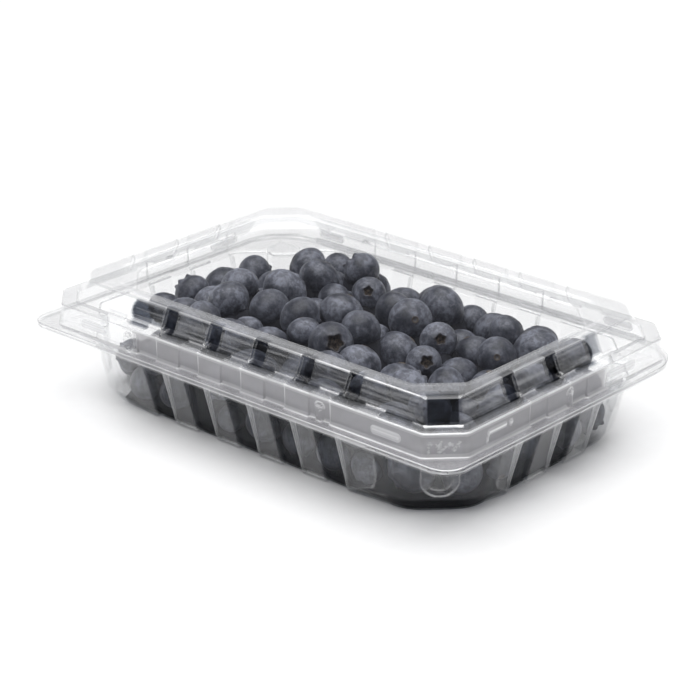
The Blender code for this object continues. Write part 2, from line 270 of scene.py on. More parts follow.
def rounded(knots, steps=4):
    """A section through the film: knots of (inset, z, bend radius, other values...) joined by
    straight runs, each knot rounded off by its radius."""
    knots = np.array(knots, float)
    spots = [np.delete(knots[0], 2)]
    for before, at, after in zip(knots, knots[1:], knots[2:]):
        radius = at[2]
        before, here, after = (np.delete(k, 2) for k in (before, at, after))
        runs = [np.linalg.norm(before[:2] - here[:2]), np.linalg.norm(after[:2] - here[:2])]
        share = [min(radius / max(run, 1e-6), 0.48) for run in runs]
        start = here + (before - here) * share[0]
        end = here + (after - here) * share[1]
        for t in np.linspace(0.0, 1.0, steps if radius > 0 else 1):
            spots.append((1 - t) ** 2 * start + 2 * t * (1 - t) * here + t * t * end)
    spots.append(np.delete(knots[-1], 2))
    return np.array(spots)


# --- meshes ---------------------------------------------------------------------------------
RIM_SHIFT = 2.0                # mm added to how far a point is inside a mark, so that 0 is none
NO_MARK = -9.0                 # how far inside a mark a point is where there is none


def facing_of(grid):
    """Area-weighted normals of the faces between rows of points."""
    along = np.roll(grid, -1, axis=1) - grid
    rise = grid[1:] - grid[:-1]
    return np.cross(along[:-1] + along[1:], rise + np.roll(rise, -1, axis=1)) / 4


def at_faces(values):
    """Values of the points, averaged for the faces between them."""
    beside = (values + np.roll(values, -1, axis=1)) / 2
    return (beside[1:] + beside[:-1]) / 2


def bend_lines(grid, around, upward):
    """How strong the painted bend line is on each face: 0 where it is flat, 1 from TIGHT_BEND down.
    around and upward say how much each of the two ways of bending shows."""
    normal = facing_of(grid)
    size = np.linalg.norm(normal, axis=2)
    real = size > 1e-4
    normal = normal / (size[..., None] + 1e-9)

    def bend(before, after, width):
        turn = np.arccos(np.clip((before * after).sum(-1), -1.0, 1.0)) / 2
        return turn / np.maximum(width, 0.05)

    width = np.linalg.norm(np.roll(grid, -1, axis=1) - grid, axis=2)
    width = (width[1:] + width[:-1]) / 2
    height = np.linalg.norm(grid[1:] - grid[:-1], axis=2)
    height = (height + np.roll(height, -1, axis=1)) / 2
    round_side = bend(np.roll(normal, 1, axis=1), np.roll(normal, -1, axis=1), width)
    round_side *= np.roll(real, 1, axis=1) & np.roll(real, -1, axis=1)
    up = np.zeros_like(round_side)
    up[1:-1] = bend(normal[:-2], normal[2:], height[1:-1]) * (real[:-2] & real[2:])
    drawn = np.maximum(np.clip(round_side * TIGHT_BEND, 0.0, 1.0) * at_faces(around),
                       np.clip(up * TIGHT_BEND, 0.0, 1.0) * at_faces(upward))
    return np.clip((drawn - FAINT_BEND) / (1.0 - FAINT_BEND), 0.0, 1.0) * real


def outwards(grid):
    """The direction in which the sheet faces at each point."""
    face = facing_of(grid)
    face = face + np.roll(face, 1, axis=1)
    normal = np.zeros_like(grid)
    normal[:-1] += face
    normal[1:] += face
    size = np.linalg.norm(normal, axis=2)
    for row, lengths in zip(normal, size):
        good = np.flatnonzero(lengths > 1e-4)
        for j in np.flatnonzero(lengths <= 1e-4):
            row[j] = row[good[np.argmin(np.abs(good - j))]]
    return normal / np.linalg.norm(normal, axis=2, keepdims=True)


def linked(name, mesh):
    """An object in the scene for a mesh."""
    piece = bpy.data.objects.new(name, mesh)
    bpy.context.scene.collection.objects.link(piece)
    return piece


def shown(name, bm, look=None, merged=True):
    """A smooth piece from what was built, closed where its points meet."""
    if merged:
        bmesh.ops.remove_doubles(bm, verts=bm.verts, dist=MERGE * MM)
    for face in bm.faces:
        face.smooth = True
    mesh = bpy.data.meshes.new(name)
    bm.to_mesh(mesh)
    bm.free()
    if look:
        mesh.materials.append(look)
    return linked(name, mesh)


def points_of(bm, rows):
    return [[bm.verts.new(Vector(p) * MM) for p in row] for row in rows]


class Sheet:
    """Rows of points across the film, and the values that its finish is worked out from."""

    def __init__(self):
        self.rows, self.values = [], {}

    def add(self, points, **values):
        self.rows.append(points)
        for key, value in values.items():
            self.values.setdefault(key, []).append(np.broadcast_to(value, len(points)))

    def layers(self):
        """What the finish reads: values of the faces, and how far each point lies inside the
        edge of a pressed mark."""
        values = {key: np.array(rows, float) for key, rows in self.values.items()}
        around, upward, far, rims = (values.pop(key) for key in ("around", "upward", "far", "rim"))
        layers = {key: at_faces(rows) for key, rows in values.items()}
        layers["crease"] = bend_lines(np.array(self.rows), around, upward)
        # on the far sides the painted bend lines are drawn grey instead of white
        layers["grey"] = layers["crease"] * at_faces(far)
        return layers, np.clip(rims + RIM_SHIFT, 0.0, None)


def film_mesh(name, look, sheet, cap_first, cap_last):
    """A sheet of film from rows of points, with its thickness on the inside."""
    bm = bmesh.new()
    layers, rims = sheet.layers()
    stores = {key: bm.faces.layers.float.new(key) for key in layers}
    rim = bm.verts.layers.float.new("rim")
    grid = np.array(sheet.rows)
    count = grid.shape[1]

    def surface(points, inside):
        rows = points_of(bm, points)
        for row, values in zip(rows, rims):
            for v, value in zip(row, values):
                v[rim] = float(value)
        for k, (below, above) in enumerate(zip(rows, rows[1:])):
            for i in range(count):
                j = (i + 1) % count
                corners = (below[i], below[j], above[j], above[i])
                face = bm.faces.new(corners[::-1] if inside else corners)
                for key, store in stores.items():
                    face[store] = float(layers[key][k, i])
        for row, capped, turned in ((rows[0], cap_first, not inside), (rows[-1], cap_last, inside)):
            if capped:
                bm.faces.new(row[::-1] if turned else row)
        return rows

    outer = surface(grid, False)
    inner = surface(grid - outwards(grid) * FILM, True)
    edge = -1 if cap_first else 0
    for i in range(count):
        j = (i + 1) % count
        a, b, c, d = outer[edge][i], outer[edge][j], inner[edge][j], inner[edge][i]
        bm.faces.new((a, b, c, d) if cap_first else (d, c, b, a))
    piece = shown(name, bm, look)
    flats = piece.modifiers.new("flats", "WEIGHTED_NORMAL")   # keeps the flats flat beside bends
    flats.mode = "FACE_AREA"
    return settled(piece)


def settled(piece):
    """The piece with its modifiers turned into plain mesh."""
    bpy.context.view_layer.update()
    seen = piece.evaluated_get(bpy.context.evaluated_depsgraph_get())
    mesh = bpy.data.meshes.new_from_object(seen)
    piece.modifiers.clear()
    old, piece.data = piece.data, mesh
    bpy.data.meshes.remove(old)
    mesh.name = piece.name
    return piece


# --- lid ------------------------------------------------------------------------------------
FLANGE, SKIRT, LEDGE, RIDGE, CREST, PANEL = range(6)   # zones of the section, from outside in
SKIRT_ROW = 0.42               # height between the rows of points on the skirt
RIDGE_ROWS = (0.05, 0.14, 0.2, 0.3, 0.42, 0.54, 0.66, 0.8)   # shares of the way up the ridge
NOTCH_CLIMB = 2.4              # height over which a notch reaches its depth
NOTCH_FADE = (1.6, 1.3)        # how far below the top it starts to end, and over what height

SLOTS = {FRONT: ((-64.4, 12.0), (65.7, 12.0)), RIGHT: ((28.4, 14.0),)}   # middles and lengths
SNAPS = {FRONT: (-47.5, 38.4), RIGHT: (0.7,)}
for side, opposite in ((FRONT, BACK), (RIGHT, LEFT)):
    SLOTS[opposite], SNAPS[opposite] = SLOTS[side], SNAPS[side]
SLOT_Z, SLOT_HEIGHT, SLOT_EDGE = 29.6, 2.6, 0.9
SNAP_Z, SNAP_WIDTH, SNAP_HEIGHT, SNAP_CORE = 28.7, 3.8, 6.0, 1.8
PRESSED_RELIEF = 0.4           # how far slots and the angle mark stand out
# pressed angle mark on the right-hand skirt: places along the side and heights
MARK_FOOT, MARK_BEND = (-41.0, 28.2), (-40.4, 30.6)
MARK_END, MARK_DOT = (-32.0, 30.6), (-29.4, 30.6)

# from flange to panel: haze, partly the film's own and partly painted reflection, and how
# much the painted lines along its lengthwise bends show
LID_VEILS = (0.03, 0.08, 0.07, 0.01, 0.13, 0.0)
LID_LINES = (1.0, 1.0, 0.9, 1.0, 0.9, 0.8)
FAR_VEIL, FAR_LINE = 0.6, 0.75   # shares of both on the sides away from the fruit's front
LIT_WALL_LIGHT, LEDGE_HIGHLIGHT = 0.14, 0.28    # painted light on lit flute walls, and a painted highlight on the ledge's outer edge
SKIRT_FRUIT_GREY, FLANGE_FRUIT_GREY = 0.5, 0.4   # share of painted grey over the fruit seen through them
FRUIT_GREY_START, FRUIT_BEHIND_END = -45.5, 21.0   # where it starts along x, and stops on the right side
GLINT_BAND_REACH = 5.5             # half length of the band of painted glints on the skirt's near corner
GLINT_BAND_FOOT_Z, GLINT_BAND_TOP_Z = 27.3, 31.6
RIDGE_FOOT_SHADE = 0.8               # painted shade along the ridge's foot between the tabs
FACET_FOOT_Z, FACET_SHADE = 34.5, 0.85   # painted shade on the ridge's facet at its near corner: from what height, and how dark
TUBE_END, TUBE_END_REACH = -51.5, 4.0   # round left end of the painted shade along the ridge
TUBE_MIDDLE_Z, TUBE_HALF_HEIGHT = 38.0, 3.9
END_SHADES = (-41.5, 0.97), (-38.5, 0.40)    # place along the front, and how dark the painted shade on the slope is
NOTCH_SHADES = (-34.0, 0.76), (47.0, 0.52)   # place along the front, and how dark the painted shade in a notch is there
# painted shade on the right-hand side's slope and in its notches
RIGHT_SLOPE_SHADE, RIGHT_NOTCH_SHADE = 0.16, 0.72


def stadium(s, z, middle, length):
    """Outline of a pressed slot with round ends: above 0 inside it."""
    past = np.clip(np.abs(s - middle) - (length - SLOT_HEIGHT) / 2, 0.0, None)
    return SLOT_HEIGHT / 2 - np.hypot(past, z - SLOT_Z)


def mark_distance(s, z):
    """How far a point of the right-hand skirt is from the pressed angle mark and its dot."""
    def leg(from_s, from_z, to_s, to_z):
        run, rise = to_s - from_s, to_z - from_z
        share = ((s - from_s) * run + (z - from_z) * rise) / (run ** 2 + rise ** 2)
        share = np.clip(share, 0.0, 1.0)
        return np.hypot(s - from_s - share * run, z - from_z - share * rise)

    return np.minimum(np.minimum(leg(*MARK_FOOT, *MARK_BEND), leg(*MARK_BEND, *MARK_END)),
                      np.hypot(s - MARK_DOT[0], z - MARK_DOT[1]) - 0.35)


def inside_marks(outline, place, z):
    """How far inside the edge of a slot or of the angle mark a point of the skirt is."""
    inside = np.where(outline.side == RIGHT, 0.3 - mark_distance(place, z), NO_MARK)
    for side, slots in SLOTS.items():
        for middle, length in slots:
            slot = np.where(outline.side == side, stadium(place, z, middle, length), NO_MARK)
            inside = np.maximum(inside, slot)
    return inside


def snap_bulge(outline, place, z):
    """How far the snaps bulge out of the skirt."""
    past = np.clip(abs(z - SNAP_Z) - SNAP_CORE, 0, None) / (SNAP_HEIGHT / 2 - SNAP_CORE)
    out = np.zeros(len(place))
    for side, snaps in SNAPS.items():
        for middle in snaps:
            bulge = 1.0 - ((place - middle) / (SNAP_WIDTH / 2)) ** 2 - past ** 2
            out += (outline.side == side) * np.sqrt(np.clip(bulge, 0.0, 1.0))
    return out


def pressed_out(outline, place, z):
    """How far slots, snaps and the angle mark stand out of the skirt."""
    out = snap_bulge(outline, place, z)
    for side, slots in SLOTS.items():
        for middle, length in slots:
            rise = ease(stadium(place, z, middle, length) / SLOT_EDGE)
            out += (outline.side == side) * PRESSED_RELIEF * rise
    mark = ease((0.6 - mark_distance(place, z)) / 0.5)
    return out + (outline.side == RIGHT) * PRESSED_RELIEF * mark


def lid_outline():
    """Points along the sides wherever flutes, tabs, notches, slots, snaps or marks need them."""
    def ends_of(slots):
        return [middle + end * (length / 2 - 0.9) + step for middle, length in slots
                for end in (-1, 1) for step in np.arange(-1.6, 1.7, 0.4)]

    def across(spots):
        return [middle + step for middle in spots for step in np.arange(-2.25, 2.3, 0.45)]

    def shared(hollows, notches, side):
        return [marks_of(hollows, HOLLOW_WIDTH, FLUTE_SLOPE),
                marks_of(hollows, TAB_WIDTH, TAB_SLOPE),
                marks_of(notches, NOTCH_WIDTH, NOTCH_SLOPE),
                ends_of(SLOTS[side]), across(SNAPS[side])]

    mark = np.arange(MARK_FOOT[0] - 1.0, MARK_DOT[0] + 1.4, 0.4)
    tube_end = np.arange(TUBE_END - 1.0, TUBE_END + TUBE_END_REACH + 0.6, 0.6)
    return Outline(np.concatenate([*shared(TABS, LONG_NOTCHES, FRONT), tube_end]),
                   np.concatenate([*shared(SHORT_HOLLOWS, SHORT_NOTCHES, RIGHT), mark]))


def lid_section():
    """The lid from its edge inwards: inset, z, corner cut, corner bend and zone."""
    top, panel_z = LID_RIM + FILM, HEIGHT - PANEL_DROP
    run, rise = CREST_INSET - RIDGE_INSET, HEIGHT - LEDGE_Z
    edge, wall = (FRONT_CUT, round_bend(FRONT_CUT)), (SKIRT_CUT, SKIRT_BEND)
    slope, well = (RIDGE_CUT, RIDGE_BEND), (PANEL_CUT, PANEL_BEND)
    return rounded([
        (0.0, LID_RIM + 0.1, 0.0, *edge, FLANGE),
        (0.0, top, 0.2, *edge, FLANGE),
        (SKIRT_INSET - 0.35, top, 0.4, *wall, FLANGE),
        *((SKIRT_INSET, z, 0.0, *wall, SKIRT)
          for z in np.arange(top + 0.9, LEDGE_Z - 0.9, SKIRT_ROW)),
        (SKIRT_INSET, LEDGE_Z, 0.45, *wall, LEDGE),
        (SKIRT_INSET + 1.6, LEDGE_Z, 0.0, SKIRT_CUT, 2.6, LEDGE),
        (RIDGE_INSET - 1.4, LEDGE_Z, 0.0, RIDGE_CUT, 2.0, LEDGE),
        (RIDGE_INSET - 0.1, LEDGE_Z, 0.35, *slope, LEDGE),
        *((RIDGE_INSET + run * share, LEDGE_Z + rise * share, 0.0, *slope, RIDGE)
          for share in RIDGE_ROWS),
        (CREST_INSET, HEIGHT, 0.8, RIDGE_CUT, 2.2, RIDGE),
        (CREST_INSET + 2.0, HEIGHT, 0.0, RIDGE_CUT + 1.5, 3.0, CREST),
        (CREST_INSET + CREST_WIDTH, HEIGHT, 0.5, CREST_CUT, 4.0, CREST),
        (PANEL_INSET - 0.6, panel_z + 0.8, 0.0, *well, CREST),
        (PANEL_INSET, panel_z, 0.4, *well, PANEL),
        (PANEL_INSET + 1.2, panel_z, 0.0, *well, PANEL),
        (PANEL_INSET + 4.0, panel_z, 0.0, *well, PANEL)])


def ridge_shade(outline, xy, place, z, notch):
    """Painted shade on the ridge, in place of its slope bending the view down into the fruit:
    black in the near corner's facet, darker in the notches than between them."""
    facet = near_corner(outline, xy) * (np.abs(place) < SCOOP_RADIUS) * (z > FACET_FOOT_Z)
    from_end = np.clip(TUBE_END + TUBE_END_REACH - xy[:, 0], 0.0, None) / TUBE_END_REACH
    in_tube = np.hypot(from_end, (z - TUBE_MIDDLE_Z) / TUBE_HALF_HEIGHT) < 1.0
    front = (outline.side == FRONT) * in_tube
    right = outline.side == RIGHT
    shown_part = (front + right) * filled(xy) * (z > LEDGE_Z + 1.2)
    slope = (front * np.interp(xy[:, 0], *zip(*END_SHADES)) * (z < HEIGHT - 0.6)
             + RIGHT_SLOPE_SHADE * right)
    dark_notch = np.where(front, np.interp(xy[:, 0], *zip(*NOTCH_SHADES)), RIGHT_NOTCH_SHADE)
    slope_and_notches = slope + notch * np.maximum(dark_notch - slope, 0.0)
    return np.maximum(facet * FACET_SHADE, shown_part * slope_and_notches)


def lid_shape(outline, place, inset, z, zone, hollow, tab, notch):
    """How far each point of a row moves inwards and up."""
    top = LID_RIM + FILM
    inward, lift = np.zeros(len(place)), np.zeros(len(place))
    if zone < 1.5 and not (zone < 0.5 and inset < SKIRT_INSET - 0.6):
        share = np.clip((z - top) / (LEDGE_Z - top), 0.0, 1.0)
        inward += hollow * between(*SKIRT_FLUTE, share)
        inward -= pressed_out(outline, place, z)
    if 1.5 < zone < 2.5:
        lift += tab * TAB_RISE * ease((inset - SKIRT_INSET - 0.2) / 0.8)
    if zone > 2.0 and inset < PANEL_INSET - 1.0:
        fade = 1.0 - ease((z - HEIGHT + NOTCH_FADE[0]) / NOTCH_FADE[1])
        inward += notch * NOTCH_DEPTH * ease((z - LEDGE_Z) / NOTCH_CLIMB) * fade
        lift += tab * TAB_RISE * (1 - ease((z - LEDGE_Z) / 1.6)) * (zone > 2.5)
    return inward, lift


def lid_looks(outline, xy, place, inset, z, zone, hollow, tab, notch):
    """What the finish reads at each point of a row."""
    on_skirt, on_ridge = 0.5 < zone < 1.5, 2.2 < zone < 3.8
    near, at_corner = outline.on(FRONT, RIGHT), near_corner(outline, xy)
    facing = near | at_corner
    backed = facing * ease((xy[:, 0] - TUBE_END) / 1.5)
    backed = backed * np.where(outline.side == RIGHT, ease((FRUIT_BEHIND_END - place) / 3.0), 1.0)
    # painted shade: a dark line along the ridge's foot between the tabs, where the fruit is behind
    on_ridge_foot = zone > 1.9 and inset > RIDGE_INSET - 0.5 and z < LEDGE_Z + 0.8
    ridge_foot_line = near * backed * (1.0 - tab) * on_ridge_foot
    in_notch = notch * (LEDGE_Z + 0.8 < z < HEIGHT - 0.25 and zone < 3.9)
    lit = outline.flute_walls(hollow)[0] * on_skirt
    veil = np.interp(zone, range(len(LID_VEILS)), LID_VEILS) * (1.0 - notch * on_ridge)
    # painted highlight along the ledge's outer edge, where the fruit is behind
    ledge_highlight = LEDGE_HIGHLIGHT * backed * (zone > 1.6 and inset < SKIRT_INSET + 0.7)
    mist = SKIRT_FRUIT_GREY if 0.3 < zone < 1.7 else FLANGE_FRUIT_GREY * (zone < 0.3)
    band = at_corner * (np.abs(place) < GLINT_BAND_REACH) * (GLINT_BAND_FOOT_Z < z < GLINT_BAND_TOP_Z)
    line = np.interp(zone, range(len(LID_LINES)), LID_LINES)
    drawn = (1.0 - 0.3 * tab * (1.5 < zone < 3.0)) * (1.0 - ridge_foot_line) * (1.0 - in_notch)
    return {
        # haze, with painted light on lit flute walls and the ledge's painted highlight
        "veil": veil * np.where(facing, 1.0, FAR_VEIL) + LIT_WALL_LIGHT * lit + ledge_highlight,
        # painted grey, in place of the fruit seen blurred through the bent skirt and flange
        "mist": backed * ease((xy[:, 0] - FRUIT_GREY_START) / 2.0) * mist,
        "shade": np.maximum(on_ridge * ridge_shade(outline, xy, place, z, notch),
                            RIDGE_FOOT_SHADE * ridge_foot_line),
        # painted reflection streaks along the ridge's slope, where the fruit is behind
        "streak": near * backed * (LEDGE_Z + 1.0 < z and zone < 3.9) * (1.0 - notch),
        # painted glints on the near corner's band and on the snaps
        "dapple": np.maximum(band, near * on_skirt * snap_bulge(outline, place, z)),
        "around": np.maximum(lit, on_ridge * ((notch > 0.001) & (notch < 0.999)) * 0.8),
        "upward": line * drawn * np.where(facing, 1.0, FAR_LINE),
        "far": ~facing,
        "rim": inside_marks(outline, place, z) if on_skirt else NO_MARK,
    }


def make_lid(look):
    outline, sheet = lid_outline(), Sheet()
    for inset, z, cut, bend, zone in lid_section():
        on_edge = zone < 0.5 and inset < 1.0
        xy, place = outline.loop(inset, cut, bend, *(HINGE_SIDE if on_edge else ()))
        rows_of = [outline.along_sides(place, *pattern) for pattern in (
            (LONG_HOLLOWS, SHORT_HOLLOWS, HOLLOW_WIDTH, FLUTE_SLOPE),
            (TABS, SHORT_HOLLOWS, TAB_WIDTH, TAB_SLOPE),
            (LONG_NOTCHES, SHORT_NOTCHES, NOTCH_WIDTH, NOTCH_SLOPE))]
        inward, lift = lid_shape(outline, place, inset, z, zone, *rows_of)
        sheet.add(np.column_stack([xy + outline.inward * inward[:, None], z + lift]),
                  **lid_looks(outline, xy, place, inset, z, zone, *rows_of))
    return film_mesh("lid_film", look, sheet, False, True)


# --- tray -----------------------------------------------------------------------------------
TRAY_BASE, TRAY_WALL, TRAY_FLANGE = range(3)   # zones of the section, from the base out
WALL_ROWS = 34
LONG_PANELS, SHORT_PANELS = 49.0, 26.0   # how far from a side's middle its panels stand
TRAY_VEILS = (0.0, 0.01, 0.04)   # for the three zones, as for the lid
TRAY_LINES = (0.0, 0.9, 0.8)
# painted light on the tray's lit flute walls, and the share of haze at the near corner
TRAY_LIT_WALL_LIGHT, CORNER_VEIL = 0.2, 0.7
# painted shade in the hollows, on the flute walls out of the light and along the base strip
HOLLOW_SHADE, FLUTE_WALL_SHADE, FOOT_SHADE = 0.28, 0.32, 0.45   # painted shade, before the fruit
PANEL_LINE_Z = 1.4             # height of the painted highlight line along the foot of the standing panels


def tray_section():
    """The tray from the base up and out: inset, z, corner cut, corner bend and zone."""
    under = TRAY_RIM - FILM
    edge = FRONT_CUT, round_bend(FRONT_CUT)
    knots = [(BASE_INSET + 3.0, 0.0, 0.0, BASE_CUT, BASE_BEND, TRAY_BASE),
             (BASE_INSET, 0.0, 0.9, BASE_CUT, BASE_BEND, TRAY_BASE),
             (WALL_FOOT_INSET, BEVEL_Z, 0.4, WALL_FOOT_CUT, WALL_FOOT_BEND, TRAY_WALL)]
    for z in np.linspace(BEVEL_Z + 1.2, under - 1.2, WALL_ROWS):
        share = (z - BEVEL_Z) / (under - BEVEL_Z)
        knots.append((between(WALL_FOOT_INSET, WALL_TOP_INSET, share), z, 0.0,
                      between(WALL_FOOT_CUT, WALL_TOP_CUT, share),
                      between(WALL_FOOT_BEND, WALL_TOP_BEND, share), TRAY_WALL))
    return rounded(knots + [(WALL_TOP_INSET, under, 0.5, WALL_TOP_CUT, WALL_TOP_BEND, TRAY_WALL),
                            (FILM, under, 0.5, *edge, TRAY_FLANGE),
                            (FILM, under - LIP_DROP + 0.4, 0.0, *edge, TRAY_FLANGE)])


def make_tray(look):
    outline = Outline(np.append(marks_of(LONG_HOLLOWS, HOLLOW_WIDTH, FLUTE_SLOPE), [-60.0, 60.0]),
                      np.append(marks_of(SHORT_HOLLOWS, HOLLOW_WIDTH, FLUTE_SLOPE), [-30.0, 30.0]),
                      corner_marks=31)
    under = TRAY_RIM - FILM
    sheet = Sheet()
    for inset, z, cut, bend, zone in tray_section():
        on_edge = zone > 1.5 and inset < 1.5
        xy, place = outline.loop(inset, cut, bend, *(HINGE_SIDE if on_edge else ()))
        share = np.clip((z - BEVEL_Z) / (under - BEVEL_Z), 0.0, 1.0)
        depth = between(*TRAY_FLUTE, share) * ease(z / BEVEL_Z) * (not on_edge)
        hollow = outline.along_sides(place, LONG_HOLLOWS, SHORT_HOLLOWS, HOLLOW_WIDTH, FLUTE_SLOPE)
        # between the hollows the panels stand down to just above the ground
        low = ease(np.clip((BEVEL_Z + 1.0 - z) / (BEVEL_Z + 1.0), 0.0, 1.0) / 0.18)
        reach = np.where(outline.on(FRONT, BACK), LONG_PANELS, SHORT_PANELS)
        standing = (1.0 - hollow) * ease((reach - np.abs(place)) / 2.0) * (outline.side != CORNERS)
        heights = z * (1.0 - FOOT_DROP * standing * low)
        below = np.clip(SCOOP_FOOT_Z + SCOOP_RADIUS - z, 0.0, None)
        inside = SCOOP_RADIUS - np.hypot(np.where(outline.side == CORNERS, place, FAR_OFF), below)
        scoop = ease(inside / 2.0) * between(SCOOP_EDGE_DEPTH, SCOOP_DEPTH, share) * (not on_edge)
        inward = (hollow * depth + standing * FOOT_SHIFT * low * (1.0 if zone > 0.5 else -1.2)
                  + scoop)

        on_wall, above_foot = zone < 1.6, z > BEVEL_Z - 0.2
        lit, dark = (walls * on_wall * above_foot for walls in outline.flute_walls(hollow))
        at_corner = near_corner(outline, xy)
        near = outline.on(FRONT, RIGHT) | at_corner
        veil = np.interp(zone, range(3), TRAY_VEILS) * np.where(at_corner, CORNER_VEIL, 1.0)
        # painted shade where the fruit shows dark through the hollows and the flute walls out of
        # the light
        recess_shade = np.maximum(HOLLOW_SHADE * hollow * on_wall, FLUTE_WALL_SHADE * dark)
        line = np.interp(zone, range(3), TRAY_LINES) * (1.0 - 0.8 * hollow * on_wall)
        # painted highlight line along the foot of the standing panels on the near sides
        panel = np.where(near & (standing > 0.5), heights - PANEL_LINE_Z, NO_MARK)
        sheet.add(
            np.column_stack([xy + outline.inward * inward[:, None], heights]),
            # haze, less in the hollows, with painted light on the lit flute walls
            veil=(veil * (1.0 - 0.9 * np.maximum(hollow, dark) * on_wall)
                  + TRAY_LIT_WALL_LIGHT * lit * near),
            # painted shade before the fruit: in the hollows and along the base strip between the
            # panels
            shade=near * filled(xy) * np.maximum(recess_shade, FOOT_SHADE * (not above_foot)
                                                 * (1.0 - standing)),
            around=lit * np.where(near, 1.0, FAR_LINE),
            upward=line * np.where(near, 1.0, FAR_LINE),
            far=~near,
            rim=np.maximum(inside, panel) if on_wall else NO_MARK)
    return film_mesh("tray_film", look, sheet, True, False)


# --- hinge ----------------------------------------------------------------------------------
FOLD_RADIUS, FOLD_WALL = 1.25, 0.3
FOLD_TURN = 112.0              # half of the angle that it goes round
FOLD_TAPER = 0.94              # share of its half length from which its ends narrow
# painted bend line and haze of the fold
FOLD_BEND_LINE, FOLD_VEIL = 0.25, 0.12


def make_hinge(look):
    """The fold of film that joins tray and lid along the back."""
    middle_z = (TRAY_RIM + LID_RIM) / 2
    turns = np.radians(np.linspace(-FOLD_TURN, FOLD_TURN, 15))
    ends = [0.96, 0.985, 1.0]
    middle = np.linspace(-FOLD_TAPER, FOLD_TAPER, 41)
    rows = []
    for station in np.concatenate([-np.array(ends[::-1]), middle, ends]):
        taper = math.sqrt(max(1.0 - max(abs(station) - FOLD_TAPER, 0.0) / 0.0601, 0.02))
        size = FOLD_RADIUS * (0.55 + 0.45 * taper)
        rows.append([(station * HINGE_LENGTH / 2, WIDTH / 2 - FOLD_RADIUS + size * math.cos(t),
                      middle_z + size * math.sin(t)) for t in turns])
    bm = bmesh.new()
    crease, veil = (bm.faces.layers.float.new(key) for key in ("crease", "veil"))
    grid = points_of(bm, rows)
    for a, b in zip(grid, grid[1:]):
        for i in range(len(a) - 1):
            face = bm.faces.new((a[i + 1], b[i + 1], b[i], a[i]))
            face[crease], face[veil] = FOLD_BEND_LINE, FOLD_VEIL
    piece = shown("hinge_fold", bm, look, merged=False)
    wall = piece.modifiers.new("wall", "SOLIDIFY")
    wall.thickness, wall.offset = FOLD_WALL * MM, -1.0
    return settled(piece)


# --- the fruit's places ---------------------------------------------------------------------
FLOOR_GAP = 0.9                # what the fruit keeps free beside the walls and above the base
POUR_STEPS, FALL_STEPS = 700, 620
FALL, SINK = 0.25, 0.03        # how far all berries go down in a step, and in the last ones
PUSH = 0.3                     # share of an overlap by which berries push each other away


def half_sizes(z):
    """Free half length, half width and corner cut inside tray and lid at a height."""
    heights = (0.0, 4.5, 25.2, 25.3, 33.7, 33.8, 39.6, 41.6)
    insets = (13.3, 11.5, 7.2, 6.5, 6.5, 8.2, 12.2, 14.4)
    cuts = (13.7, 17.0, 25.0, 12.0, 12.0, 13.0, 13.0, 13.0)
    inset = np.interp(z, heights, insets) + FLOOR_GAP
    return LENGTH / 2 - inset, WIDTH / 2 - inset, np.interp(z, heights, cuts)


def settle(count, radius, seed):
    """Centres and radii of berries that were poured in and shaken down, as in the part."""
    rng = np.random.default_rng(seed)
    radii = rng.normal(radius, BERRY_SPREAD, count)
    radii = np.clip(radii, radius - BERRY_REACH, radius + BERRY_REACH)
    half_x, half_y, _ = half_sizes(25.2)
    places = rng.uniform((-half_x, -half_y, 8.0), (half_x, half_y, 60.0), (count, 3))
    places *= (0.9, 0.9, 1.0)
    for step in range(POUR_STEPS):
        places[:, 2] -= FALL if step < FALL_STEPS else SINK
        for _ in range(3):
            apart = places[:, None, :] - places[None, :, :]
            distance = np.linalg.norm(apart, axis=2) + 1e-9
            overlap = radii[:, None] + radii[None, :] - distance
            np.fill_diagonal(overlap, 0.0)
            push = np.clip(overlap, 0.0, None)[:, :, None] * apart / distance[:, :, None]
            places += push.sum(axis=1) * PUSH
            hold_inside(places, radii)
    return places, radii


def heap_roof(places):
    """Highest point that a berry at each place may reach, lower towards the walls."""
    ends = ease((np.abs(places[:, 0]) - 60.0) / 16.0)
    sides = ease((np.abs(places[:, 1]) - 40.0) / 10.0)
    return 37.1 - 9.0 * ends - 4.0 * sides


def hold_inside(places, radii):
    """Moves centres back inside the walls, above the base and under the heap's roof."""
    half_x, half_y, cut = half_sizes(places[:, 2])
    places[:, 0] = np.clip(places[:, 0], -half_x + radii, half_x - radii)
    places[:, 1] = np.clip(places[:, 1], -half_y + radii, half_y - radii)
    beyond = (np.abs(places[:, 0]) + np.abs(places[:, 1]) - (half_x + half_y - cut)) / math.sqrt(2)
    back = np.clip(beyond + radii, 0.0, None) / math.sqrt(2)
    places[:, 0] -= np.sign(places[:, 0]) * back
    places[:, 1] -= np.sign(places[:, 1]) * back
    places[:, 2] = np.clip(places[:, 2], FLOOR_GAP + radii, heap_roof(places) - radii)


# --- finishes -------------------------------------------------------------------------------
class Wire:
    """A number that varies over a surface, so that maths on it reads as plain Python."""

    def __init__(self, finish, socket):
        self.finish, self.socket = finish, socket

    def maths(self, operation, first, second, clamp=False):
        return self.finish.number("ShaderNodeMath", {"operation": operation, "use_clamp": clamp},
                                  {0: first, 1: second})

    def __add__(self, other):
        return self.maths("ADD", self, other)

    def __sub__(self, other):
        return self.maths("SUBTRACT", self, other)

    def __rsub__(self, other):
        return self.maths("SUBTRACT", other, self)

    def __mul__(self, other):
        return self.maths("MULTIPLY", self, other)

    def __pow__(self, other):
        return self.maths("POWER", self, other)

    __radd__, __rmul__ = __add__, __mul__

    def capped(self):
        return self.maths("ADD", self, 0.0, clamp=True)

    def between(self, low, high):
        """0 where this is at low, 1 at high, smooth between."""
        return self.finish.number("ShaderNodeMapRange", {"interpolation_type": "SMOOTHSTEP"},
                                  {"Value": self, "From Min": low, "From Max": high})


